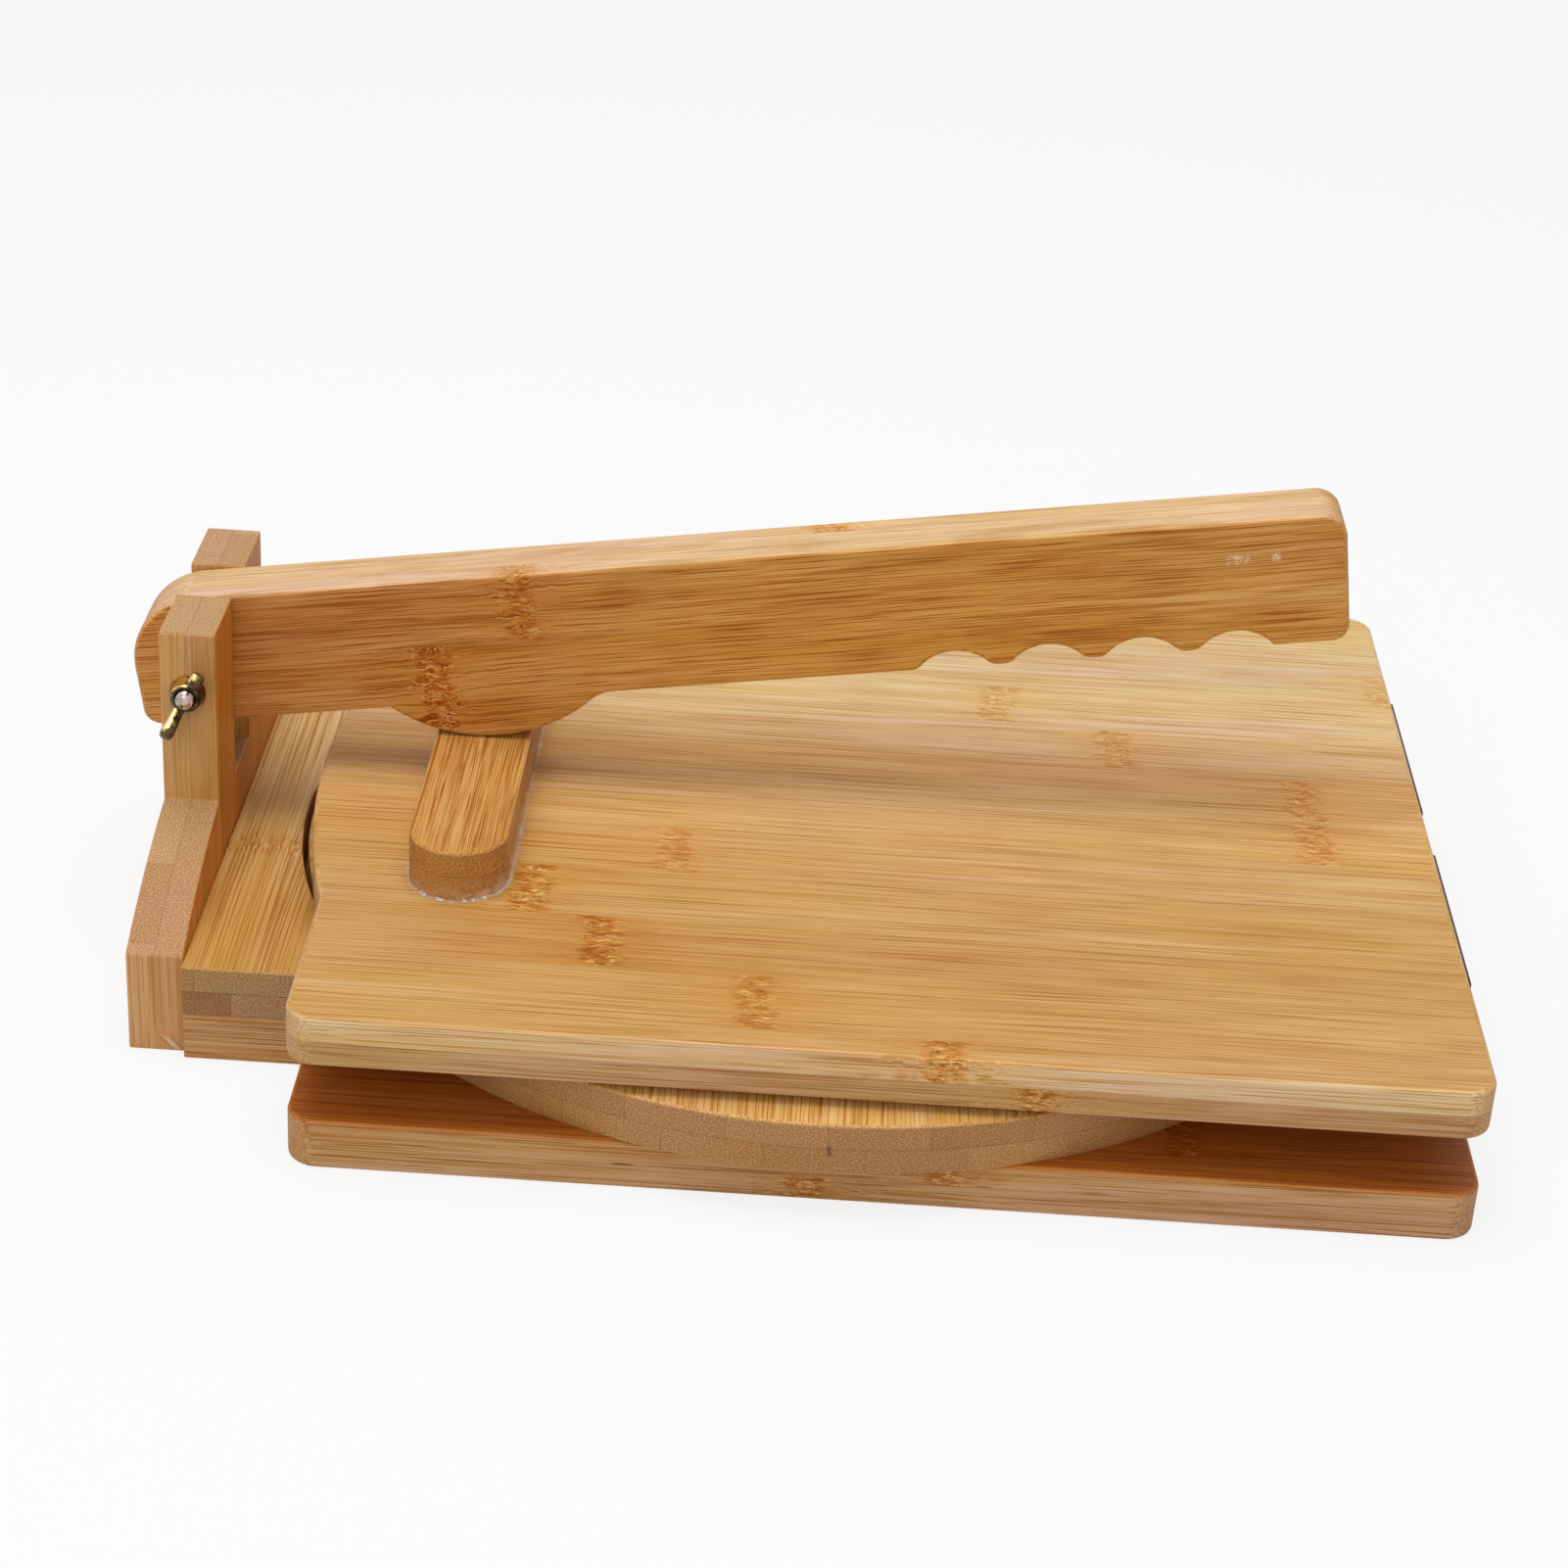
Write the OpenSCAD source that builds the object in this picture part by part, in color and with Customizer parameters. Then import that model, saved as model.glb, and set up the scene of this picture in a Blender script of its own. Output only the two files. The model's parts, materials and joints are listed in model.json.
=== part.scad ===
// Lever tortilla press of laminated bamboo boards, closed, with its lever down on the cam block.
// Millimetres. +X runs along the lever towards its grip, +Y away from the wing nut, +Z up.
// The origin is on the underside of the base board, below the centre of the press disc.

/* [Boards] */
// Thickness of the base board
base_thick = 12; // [10:0.5:18]
// Thickness of the lid board
lid_thick = 12; // [10:0.5:18]
// Radius of the corners of both boards, seen from above
corner_radius = 7; // [2:0.5:20]
// Daylight between the press disc and the closed lid
lid_gap = 2; // [1.5:0.5:4]
// How far the curved tongue of the lid reaches past its straight left edge
tongue_reach = 9.2; // [4:0.1:11]
// Width of the tongue where it leaves the left edge
tongue_width = 136; // [90:1:150]

/* [Press disc] */
// Diameter of the press disc, which sets the size of both boards
disc_diameter = 254; // [220:1:305]
// Thickness of the press disc
disc_thick = 12; // [10:0.5:18]
// How far the disc reaches past the straight left edge of the boards
disc_left_reach = 12; // [8:0.5:14]
// How far the disc reaches past the front and back edges of the boards
disc_side_reach = 7; // [0:0.5:12]
// Distance from the disc to the right edge of the boards
disc_right_margin = 16.5; // [8:0.5:40]

/* [Neck and cross block] */
// Length of the neck that carries the yoke
neck_length = 29.5; // [26:0.5:45]
// Width of the neck and of the cross block on it
neck_width = 160; // [156:1:190]
// Radius of the inside corners where the neck meets the base board
neck_fillet = 4; // [1:0.5:10]
// Height of the cross block
cross_height = 12; // [10:0.5:13]
// Gap between the press disc and the hollow side of the cross block
disc_clearance = 1.3; // [0.8:0.1:3]

/* [Yoke] */
// Thickness of the yoke board
yoke_thick = 13; // [11:0.5:18]
// Height of the post tops above the pivot
post_above = 14.7; // [12:0.1:25]
// Width of the foot of the yoke
foot_width = 154; // [130:1:155]
// Height of the outer ends of the foot
foot_height = 25; // [20:1:32]
// Width over both posts
posts_width = 61; // [56:0.5:61]
// Height where the shoulders meet the posts
shoulder_height = 40; // [34:1:46]
// How far the shoulders bow upwards
shoulder_bow = 1.6; // [0.5:0.1:3]
// Width of the slot between the posts
slot_width = 18; // [16:0.5:22]
// Height of the floor of the slot
slot_floor = 37; // [30:1:44]

/* [Lever] */
// Gap between the lever and each post
lever_side_gap = 0.3; // [0.2:0.1:1]
// Tilt of the closed lever
lever_angle = 8.5; // [6:0.5:9]
// Height of the pivot above the table
pivot_height = 68.3; // [67:0.1:72]
// Distance from the pivot to the top edge of the lever
lever_above = 13.8; // [12:0.1:15]
// Distance from the pivot to the lower edge of the lever
lever_below = 18.3; // [17:0.1:20]
// Distance from the pivot to the back end of the lever
lever_tail = 17.8; // [16:0.1:22]
// Distance from the pivot to the grip end of the lever
lever_reach = 268.5; // [262:0.1:300]
// Radius of the large round at the back of the top edge
tail_radius = 17; // [8:0.5:17.5]
// Radius of the round at the grip end of the top edge
grip_radius = 6; // [2:0.5:12]
// Radius of the corners of the lower edge
lever_corner = 4; // [2:0.5:6]
// Radius of the cam lobe
cam_radius = 38.3; // [36:0.1:42]
// Distance along the lever from the pivot to the centre of the cam lobe
cam_offset = 66.7; // [62:0.1:70]
// Gap between the cam lobe and the cam block
cam_gap = 0.3; // [0.2:0.1:0.6]
// Radius of the hollow that blends the cam lobe into the lower edge
cam_blend = 9; // [4:0.5:12]
// Number of finger hollows
finger_count = 4; // [2:1:4]
// Distance between finger hollows
finger_pitch = 22; // [22:0.5:24]
// Distance from the last finger hollow to the grip end of the lever
finger_inset = 26.3; // [20:0.1:40]
// Depth of the finger hollows
finger_depth = 4.2; // [2:0.1:4.4]
// Radius of the finger hollows
finger_radius = 11; // [9:0.5:11.5]
// Radius of the crests between the finger hollows
finger_crest = 3.5; // [1:0.5:3.5]

/* [Cam block] */
// Height of the cam block
block_height = 12; // [8:0.5:12.5]
// Width of the cam block
block_width = 22.6; // [20:0.2:24]
// Length of the cam block over its round ends
block_length = 133; // [90:1:150]
// Distance from the left edge of the lid to the middle of the cam block
block_set_in = 30; // [28:0.5:32]

/* [Pivot bolt and wing nut] */
// Diameter of the pivot bolt
bolt_diameter = 4.2; // [4:0.1:5]
// Length of the pivot bolt under its head
bolt_length = 66.5; // [66:0.5:72]
// Diameter of the domed bolt head
bolt_head_diameter = 11; // [10:0.5:14]
// Height of the domed bolt head
bolt_head_height = 2.6; // [2:0.1:4]
// Depth of the square neck under the bolt head
bolt_square_depth = 3; // [2:0.1:5]
// Running clearance around the bolt
bolt_clearance = 0.06; // [0.03:0.01:0.1]
// Diameter of the foot of the wing nut
nut_foot_diameter = 8.4; // [8:0.1:10]
// Diameter of the outer end of the wing nut's hub
nut_top_diameter = 7; // [6.6:0.1:7.6]
// Height of the wing nut's hub
nut_height = 4; // [3.6:0.1:5]
// Span over the wings
wing_span = 18.4; // [17:0.1:24]
// Height of the wing tips above the post
wing_height = 9.4; // [8:0.1:11]
// Thickness of the wings
wing_thick = 2.3; // [2:0.1:3]
// Angle of the wings, seen from the front
wing_angle = 63; // [0:1:180]

/* [Hinges] */
// Length of each hinge
hinge_length = 58; // [45:1:64]
// Distance from the middle of the board to the middle of each hinge
hinge_spacing = 41; // [36:0.5:60]
// Thickness of the hinge leaves
leaf_thick = 1.2; // [1:0.1:1.6]
// How far the ends of the leaves stay inside the faces of the boards
leaf_margin = 1.5; // [0.5:0.1:2.5]
// Outer diameter of the knuckles
knuckle_diameter = 5; // [4.6:0.1:6]
// Diameter of the hinge pins
pin_diameter = 2.6; // [2:0.1:2.8]
// Running clearance around the hinge pins
pin_clearance = 0.05; // [0.03:0.01:0.1]
// Gap between neighbouring knuckles
knuckle_gap = 0.3; // [0.2:0.1:0.6]
// Number of knuckles in each hinge
knuckle_count = 5; // [3:2:7]
// Diameter of the pin heads
pin_head_diameter = 4; // [3.4:0.1:4.5]
// Thickness of the pin heads
pin_head_height = 0.8; // [0.5:0.1:1.2]

/* [Screws] */
// Diameter of the hinge screws
hinge_screw_diameter = 3; // [2.5:0.1:3.2]
// Length of the hinge screws
hinge_screw_length = 16; // [12:1:20]
// Diameter of the yoke screws
yoke_screw_diameter = 4; // [3.5:0.1:4.5]
// Length of the yoke screws
yoke_screw_length = 30; // [26:1:32]
// Distance from the middle to the yoke screws in the neck
low_screw_spacing = 58; // [50:1:66]
// Distance from the middle to the yoke screws in the cross block
high_screw_spacing = 36; // [30:1:42]
// Clearance around screws in their holes
screw_clearance = 0.05; // [0.03:0.01:0.1]

/* [Hidden] */
left_x = disc_left_reach - disc_diameter / 2;
right_x = disc_diameter / 2 + disc_right_margin;
board_width = disc_diameter - 2 * disc_side_reach;
neck_x = left_x - neck_length;
yoke_x = neck_x - yoke_thick;
disc_top = base_thick + disc_thick;
lid_z = disc_top + lid_gap;
lid_top = lid_z + lid_thick;
block_top = lid_top + block_height;
block_x = left_x + block_set_in;
pivot_x = neck_x - yoke_thick / 2;
yoke_height = pivot_height + post_above;
lever_thick = slot_width - 2 * lever_side_gap;
bolt_bore = bolt_diameter / 2 + bolt_clearance;
bolt_end_y = posts_width / 2 - bolt_length;

// Centre of the cam lobe in the lever's own frame, so that the lobe stays cam_gap above the cam block
cam_v = (block_top + cam_gap + cam_radius - pivot_height - cam_offset * sin(lever_angle)) / cos(lever_angle);
lobe_half = sqrt(pow(cam_radius, 2) - pow(cam_v + lever_below, 2));
blend_u = cam_offset + sqrt(pow(cam_radius + cam_blend, 2) - pow(cam_v + lever_below + cam_blend, 2));

finger_start = lever_reach - finger_inset - (finger_count - 1) * finger_pitch;

// Distance from the middle of a finger hollow to the centres of the crests beside it
crest_reach = sqrt(2 * (finger_radius + finger_crest) * finger_depth - pow(finger_depth, 2));

hinge_x = right_x + knuckle_diameter / 2;
hinge_z = lid_top / 2;
knuckle_pitch = hinge_length / knuckle_count;
leaf_reach = hinge_z - leaf_margin;
lid_screw_z = lid_z + lid_thick / 2;
base_screw_z = base_thick / 2;
hinge_screw_step = hinge_length / 3;
knuckle_relief = knuckle_diameter / 2 + knuckle_gap + 0.1;

yoke_head_diameter = 2 * yoke_screw_diameter;
high_screw_z = base_thick + cross_height / 2;

// Points of an arc from p to q that bows to the left of the way from p to q by the height bow
function bowed(p, q, bow, steps = 14) =
    let (half = norm(q - p) / 2, r = (half * half + bow * bow) / (2 * bow), a = asin(half / r),
         dir = (q - p) / (2 * half), side = [-dir[1], dir[0]], mid = (p + q) / 2, c = mid - side * (r - bow))
    [for (i = [0 : steps]) let (t = -a + 2 * a * i / steps) c + r * (dir * sin(t) + side * cos(t))];

// Points of an arc about (x, y)
function arc(x, y, r, from, to, steps = 16) =
    [for (i = [0 : steps]) let (a = from + (to - from) * i / steps) [x + r * cos(a), y + r * sin(a)]];

// Outline of the base board and the lid, without the middle of the left edge
board_outline =
    let (l = left_x + corner_radius, r = right_x - corner_radius, h = board_width / 2 - corner_radius)
    concat(arc(l, -h, corner_radius, 180, 270), arc(r, -h, corner_radius, 270, 360),
           arc(r, h, corner_radius, 0, 90), arc(l, h, corner_radius, 90, 180));

// Countersunk wood screw that points along +Z from the plane of its head
module screw_body(diameter, length, grow = 0) {
    head = diameter * 0.9 + 2 * grow;
    r = diameter / 2 + grow;
    rotate_extrude($fn = 32)
        polygon([[0, grow > 0 ? -0.5 : 0], [head, grow > 0 ? -0.5 : 0], [head, 0], [r, head - r],
                 [r, length - diameter], [0.2, length + grow], [0, length + grow]]);
}

module wood_screw(diameter, length) {
    difference() {
        screw_body(diameter, length);
        for (a = [0, 90]) rotate(a)
            translate([-diameter * 0.5, -diameter * 0.1, -0.5])
                cube([diameter, diameter * 0.2, 0.5 + diameter * 0.25]);
    }
}

// Puts a screw at each place of one hinge leaf, with its head flush with the leaf
module at_hinge_screws(z) {
    for (side = [-1, 1], step = [-1, 0, 1])
        translate([right_x + leaf_thick, side * hinge_spacing + step * hinge_screw_step, z])
            rotate([0, -90, 0]) children();
}

module at_yoke_screws() {
    for (side = [-1, 1]) {
        translate([yoke_x, side * low_screw_spacing, base_thick / 2]) rotate([0, 90, 0]) children();
        translate([yoke_x, side * high_screw_spacing, high_screw_z]) rotate([0, 90, 0]) children();
    }
}

module base_board() {
    color("#d9ab6b") difference() {
        linear_extrude(base_thick) polygon(concat(board_outline,
            arc(left_x - neck_fillet, neck_width / 2 + neck_fillet, neck_fillet, 360, 270),
            [[neck_x, neck_width / 2], [neck_x, -neck_width / 2]],
            arc(left_x - neck_fillet, -neck_width / 2 - neck_fillet, neck_fillet, 90, 0)));
        at_yoke_screws() screw_body(yoke_screw_diameter, yoke_screw_length, screw_clearance);
        at_hinge_screws(base_screw_z) screw_body(hinge_screw_diameter, hinge_screw_length, screw_clearance);
    }
}

// Cross block glued on the neck, hollowed out round the press disc
module cross_block() {
    color("#cf9d5c") difference() {
        translate([neck_x, -neck_width / 2, base_thick]) cube([neck_length, neck_width, cross_height]);
        translate([0, 0, base_thick - 1])
            cylinder(r = disc_diameter / 2 + disc_clearance, h = cross_height + 2, $fn = 240);
        at_yoke_screws() screw_body(yoke_screw_diameter, yoke_screw_length, screw_clearance);
    }
}

module press_disc() {
    color("#d4a565") translate([0, 0, base_thick]) cylinder(d = disc_diameter, h = disc_thick, $fn = 240);
}

// Upright board with two posts, screwed to the end of the neck
module yoke() {
    shoulder = bowed([foot_width / 2, foot_height], [posts_width / 2, shoulder_height], -shoulder_bow);
    half = concat([[foot_width / 2, 0]], shoulder,
                  [[posts_width / 2, yoke_height], [slot_width / 2, yoke_height], [slot_width / 2, slot_floor]]);
    last = len(half) - 1;
    color("#c98f4c") difference() {
        translate([yoke_x, 0, 0]) rotate([90, 0, 90]) linear_extrude(yoke_thick)
            polygon(concat(half, [for (i = [0 : last]) [-half[last - i][0], half[last - i][1]]]));
        translate([pivot_x, posts_width, pivot_height]) rotate([90, 0, 0])
            cylinder(r = bolt_bore, h = 2 * posts_width, $fn = 40);
        translate([pivot_x - bolt_bore, posts_width / 2 - bolt_square_depth, pivot_height - bolt_bore])
            cube([2 * bolt_bore, bolt_square_depth + 1, 2 * bolt_bore]);
        at_yoke_screws() screw_body(yoke_screw_diameter, yoke_screw_length, screw_clearance);
    }
}

module yoke_screws() {
    color("#b9b9b4") at_yoke_screws() wood_screw(yoke_screw_diameter, yoke_screw_length);
}

module lid_board() {
    color("#e0b578") difference() {
        translate([0, 0, lid_z]) linear_extrude(lid_thick) polygon(concat(board_outline,
            bowed([left_x, tongue_width / 2], [left_x, -tongue_width / 2], -tongue_reach, 40)));
        at_hinge_screws(lid_screw_z) screw_body(hinge_screw_diameter, hinge_screw_length, screw_clearance);
    }
}

// Block glued across the lid, under the cam lobe
module cam_block() {
    straight = block_length - block_width;
    color("#cf9a55") translate([block_x, 0, lid_top]) {
        translate([-block_width / 2, -straight / 2, 0]) cube([block_width, straight, block_height]);
        for (side = [-1, 1]) translate([0, side * straight / 2, 0])
            cylinder(d = block_width, h = block_height, $fn = 64);
    }
}

// Side view of the lever from its pivot: back corner, cam lobe, hollow behind it, finger hollows, grip
module lever_outline() {
    start = atan2(-lever_below - cam_v, -lobe_half) + 360;
    meet = atan2(-lever_below - cam_blend - cam_v, blend_u - cam_offset) + 360;
    hollow_y = -lever_below + finger_depth - finger_radius;
    crest_y = -lever_below + finger_crest;
    tip = acos(crest_reach / (finger_radius + finger_crest));
    sharp = asin((finger_radius - finger_depth) / finger_radius);
    polygon(concat(
        arc(-lever_tail + lever_corner, -lever_below + lever_corner, lever_corner, 180, 270),
        arc(cam_offset, cam_v, cam_radius, start, meet, 40),
        arc(blend_u, -lever_below - cam_blend, cam_blend, meet - 180, 90),
        [for (i = [0 : finger_count - 1]) let (x = finger_start + i * finger_pitch) each concat(
            arc(x - crest_reach, crest_y, finger_crest, 270, 360 - tip, 8),
            arc(x, hollow_y, finger_radius, 180 - tip, i < finger_count - 1 ? tip : sharp, 20),
            i < finger_count - 1 ? arc(x + crest_reach, crest_y, finger_crest, 180 + tip, 270, 8) : [])],
        arc(lever_reach - lever_corner, -lever_below + lever_corner, lever_corner, -90, 0),
        arc(lever_reach - grip_radius, lever_above - grip_radius, grip_radius, 0, 90),
        arc(-lever_tail + tail_radius, lever_above - tail_radius, tail_radius, 90, 180, 24)));
}

module lever() {
    color("#c88f48") translate([pivot_x, 0, pivot_height]) rotate([90, -lever_angle, 0]) difference() {
        linear_extrude(lever_thick, center = true) lever_outline();
        cylinder(r = bolt_bore, h = slot_width + 2, center = true, $fn = 40);
    }
}

// Carriage bolt: domed head and square neck behind the rear post, plain shank through both posts
module pivot_bolt() {
    side = bolt_diameter;
    dome = (pow(bolt_head_diameter / 2, 2) + pow(bolt_head_height, 2)) / (2 * bolt_head_height);
    color("#c9a85a") translate([pivot_x, posts_width / 2, pivot_height]) rotate([90, 0, 0]) {
        translate([0, 0, -bolt_head_height + dome]) intersection() {
            sphere(dome, $fn = 96);
            translate([0, 0, -dome]) cylinder(d = 2 * bolt_head_diameter, h = bolt_head_height, $fn = 64);
        }
        translate([-side / 2, -side / 2, 0]) cube([side, side, bolt_square_depth]);
        rotate_extrude($fn = 40)
            polygon([[0, 0], [side / 2, 0], [side / 2, bolt_length - 0.5],
                     [side / 2 - 0.5, bolt_length], [0, bolt_length]]);
    }
}

module wing() {
    tip = wing_thick * 0.75;
    rotate([90, 0, 0]) linear_extrude(wing_thick, center = true) hull() {
        translate([nut_top_diameter / 2 - 0.2, nut_height * 0.38]) circle(1.2, $fn = 32);
        translate([nut_top_diameter / 2 - 0.2, nut_height * 0.75]) circle(1, $fn = 32);
        translate([wing_span / 2 - tip, wing_height - tip]) circle(tip, $fn = 32);
        translate([wing_span / 2 - tip * 1.1, wing_height - 2.4 * tip]) circle(tip, $fn = 32);
    }
}

module wing_nut() {
    color("#c8a24a") translate([pivot_x, -posts_width / 2, pivot_height]) rotate([90, 0, 0])
        rotate(wing_angle) difference() {
            union() {
                rotate_extrude($fn = 48)
                    polygon([[0, 0], [nut_foot_diameter / 2, 0], [nut_foot_diameter / 2, 0.8],
                             [nut_top_diameter / 2, nut_height - 0.4], [nut_top_diameter / 2 - 0.4, nut_height],
                             [0, nut_height]]);
                wing();
                rotate(180) wing();
            }
            translate([0, 0, -1]) cylinder(r = bolt_bore, h = nut_height + 2, $fn = 40);
        }
}

// One leaf of a hinge, drawn rising from the pin axis; own knuckles are those whose number has parity own
module hinge_leaf(own, screw_rise) {
    difference() {
        union() {
            translate([0, -hinge_length / 2, knuckle_relief])
                cube([leaf_thick, hinge_length, leaf_reach - knuckle_relief]);
            for (i = [0 : knuckle_count - 1]) if (i % 2 == own) {
                low = -hinge_length / 2 + i * knuckle_pitch + (i == 0 ? 0 : knuckle_gap / 2);
                high = -hinge_length / 2 + (i + 1) * knuckle_pitch - (i == knuckle_count - 1 ? 0 : knuckle_gap / 2);
                translate([0, low, 0]) cube([leaf_thick, high - low, knuckle_relief + 1]);
                translate([knuckle_diameter / 2, high, 0]) rotate([90, 0, 0])
                    cylinder(d = knuckle_diameter, h = high - low, $fn = 40);
            }
        }
        translate([knuckle_diameter / 2, hinge_length, 0]) rotate([90, 0, 0])
            cylinder(r = pin_diameter / 2 + pin_clearance, h = 2 * hinge_length, $fn = 32);
        for (step = [-1, 0, 1]) translate([leaf_thick, step * hinge_screw_step, screw_rise])
            rotate([0, -90, 0]) screw_body(hinge_screw_diameter, hinge_screw_length, screw_clearance);
    }
}

module base_leaf(side) {
    color("#4a3826") translate([right_x, side * hinge_spacing, hinge_z]) mirror([0, 0, 1])
        hinge_leaf(0, hinge_z - base_screw_z);
}

module lid_leaf(side) {
    color("#4a3826") translate([right_x, side * hinge_spacing, hinge_z])
        hinge_leaf(1, lid_screw_z - hinge_z);
}

module hinge_pin(side) {
    full = hinge_length + 2 * pin_head_height;
    color("#6b5540") translate([hinge_x, side * hinge_spacing + full / 2, hinge_z]) rotate([90, 0, 0])
        rotate_extrude($fn = 40)
            polygon([[0, 0], [pin_head_diameter / 2, 0], [pin_head_diameter / 2, pin_head_height],
                     [pin_diameter / 2, pin_head_height], [pin_diameter / 2, full - pin_head_height],
                     [pin_head_diameter / 2, full - pin_head_height], [pin_head_diameter / 2, full], [0, full]]);
}

module base_leaf_front() { base_leaf(-1); }
module base_leaf_rear() { base_leaf(1); }
module lid_leaf_front() { lid_leaf(-1); }
module lid_leaf_rear() { lid_leaf(1); }
module hinge_pin_front() { hinge_pin(-1); }
module hinge_pin_rear() { hinge_pin(1); }

module base_hinge_screws() {
    color("#4a3826") at_hinge_screws(base_screw_z) wood_screw(hinge_screw_diameter, hinge_screw_length);
}

module lid_hinge_screws() {
    color("#4a3826") at_hinge_screws(lid_screw_z) wood_screw(hinge_screw_diameter, hinge_screw_length);
}

base_board();
cross_block();
press_disc();
yoke();
yoke_screws();
lid_board();
cam_block();
lever();
pivot_bolt();
wing_nut();
base_leaf_front();
base_leaf_rear();
lid_leaf_front();
lid_leaf_rear();
hinge_pin_front();
hinge_pin_rear();
base_hinge_screws();
lid_hinge_screws();
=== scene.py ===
"""Dresses the lever tortilla press: eased bamboo boards, threaded bolt, wing nut, hinges, screws and light."""
import bpy, bmesh, json
from math import acos, atan2, cos, pi, radians, sin
from mathutils import Matrix, Vector


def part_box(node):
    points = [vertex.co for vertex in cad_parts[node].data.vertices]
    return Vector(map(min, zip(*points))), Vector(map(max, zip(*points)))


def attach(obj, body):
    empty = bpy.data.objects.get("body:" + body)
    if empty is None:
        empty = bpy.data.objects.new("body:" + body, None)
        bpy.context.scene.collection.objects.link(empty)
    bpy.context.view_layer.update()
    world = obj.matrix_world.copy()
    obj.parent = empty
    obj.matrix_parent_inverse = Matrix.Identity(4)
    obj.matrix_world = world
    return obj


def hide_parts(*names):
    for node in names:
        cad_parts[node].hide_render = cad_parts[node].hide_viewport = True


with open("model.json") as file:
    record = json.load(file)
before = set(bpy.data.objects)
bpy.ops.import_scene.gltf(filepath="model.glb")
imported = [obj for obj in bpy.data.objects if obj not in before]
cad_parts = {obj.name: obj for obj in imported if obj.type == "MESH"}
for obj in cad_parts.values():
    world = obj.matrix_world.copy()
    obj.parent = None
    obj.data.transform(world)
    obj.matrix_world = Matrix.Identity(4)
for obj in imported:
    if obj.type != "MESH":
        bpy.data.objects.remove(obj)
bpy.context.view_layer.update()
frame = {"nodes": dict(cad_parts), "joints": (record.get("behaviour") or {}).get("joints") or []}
MM = 0.001


# Finishes

class Value:
    """An output in a node tree. Sums, differences, products and quotients of these become its Math nodes."""

    def __init__(self, finish, link):
        self.finish, self.link = finish, link

    def __add__(self, other): return self.finish.math("ADD", self, other)
    def __radd__(self, other): return self.finish.math("ADD", other, self)
    def __sub__(self, other): return self.finish.math("SUBTRACT", self, other)
    def __rsub__(self, other): return self.finish.math("SUBTRACT", other, self)
    def __mul__(self, other): return self.finish.math("MULTIPLY", self, other)
    def __truediv__(self, other): return self.finish.math("DIVIDE", self, other)


class Finish:
    """The node tree of a material, or of the world, under construction."""

    def __init__(self, owner):
        self.owner = owner
        owner.use_nodes = True
        self.tree = owner.node_tree
        self.tree.nodes.clear()

    def node(self, kind, settings=None, inputs=None, out=0):
        made = self.tree.nodes.new("ShaderNode" + kind)
        for key, setting in (settings or {}).items():
            setattr(made, key, setting)
        for key, given in (inputs or {}).items():
            if isinstance(given, Value):
                self.tree.links.new(given.link, made.inputs[key])
            else:
                made.inputs[key].default_value = given
        return Value(self, made.outputs[out] if len(made.outputs) else None)

    def math(self, operation, *values):
        return self.node("Math", {"operation": operation}, dict(enumerate(values)))

    def space(self, turn=None, centre=None):
        """The piece's own coordinates in millimetres, and its outward direction, as three values each.

        turn and centre are given where the grain of a piece lies slanted.
        """
        place = self.node("TexCoord", out="Object")
        facing = self.node("TexCoord", out="Normal")
        if turn is not None:
            place = self.node("Mapping", {"vector_type": "TEXTURE"},
                              {"Vector": place, "Location": centre, "Rotation": turn})
            facing = self.node("Mapping", {"vector_type": "TEXTURE"}, {"Vector": facing, "Rotation": turn})
        place = self.node("VectorMath", {"operation": "SCALE"}, {0: place, "Scale": 1000.0})
        return [[self.node("SeparateXYZ", None, {0: v}, out=i) for i in range(3)] for v in (place, facing)]

    def point(self, x, y, z):
        return self.node("CombineXYZ", None, {0: x, 1: y, 2: z})

    def noise(self, where, detail=2.0, roughness=0.55, distortion=0.0):
        return self.node("TexNoise", None, {"Vector": where, "Scale": 1.0, "Detail": detail,
                                            "Roughness": roughness, "Distortion": distortion}, out="Fac")

    def chance(self, where):
        return self.node("TexWhiteNoise", None, {"Vector": where}, out="Value")

    def step(self, value, low, high, start=0.0, end=1.0):
        """Goes smoothly from start to end while value goes from low to high."""
        return self.node("MapRange", {"interpolation_type": "SMOOTHSTEP"},
                         {"Value": value, "From Min": low, "From Max": high, "To Min": start, "To Max": end})

    def near(self, value, place, full, gone, most=1.0):
        """Is most while value is no farther than full from place, and fades to nothing at gone."""
        return self.step(self.math("ABSOLUTE", value - place), full, gone, most, 0.0)

    def mix(self, factor, under, over, how="MIX"):
        under, over = [(*c, 1.0) if isinstance(c, tuple) else c for c in (under, over)]
        return self.node("Mix", {"data_type": "RGBA", "blend_type": how}, {0: factor, 6: under, 7: over}, out=2)

    def tinted(self, amount, color, tint):
        """color, multiplied by tint where amount is 1."""
        return self.mix(amount, color, self.mix(1.0, color, tint, "MULTIPLY"))

    def seen(self):
        """1 for what the camera sees, directly, in a reflection or through a clear body, and 0 for other light."""
        camera, mirrored, through = (self.node("LightPath", out=f"Is {kind} Ray")
                                     for kind in ("Camera", "Glossy", "Transmission"))
        return self.math("MAXIMUM", self.math("MAXIMUM", camera, mirrored), through)

    def surface(self, color, roughness, height, depth, others):
        """The finished material. depth is the relief in millimetres, others are further inputs of the shader."""
        relief = self.node("Bump", None, {"Height": height, "Strength": 1.0, "Distance": depth * MM})
        shader = self.node("BsdfPrincipled", None,
                           {"Base Color": color, "Roughness": roughness, "Normal": relief, **others})
        self.node("OutputMaterial", None, {"Surface": shader})
        return self.owner


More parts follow.
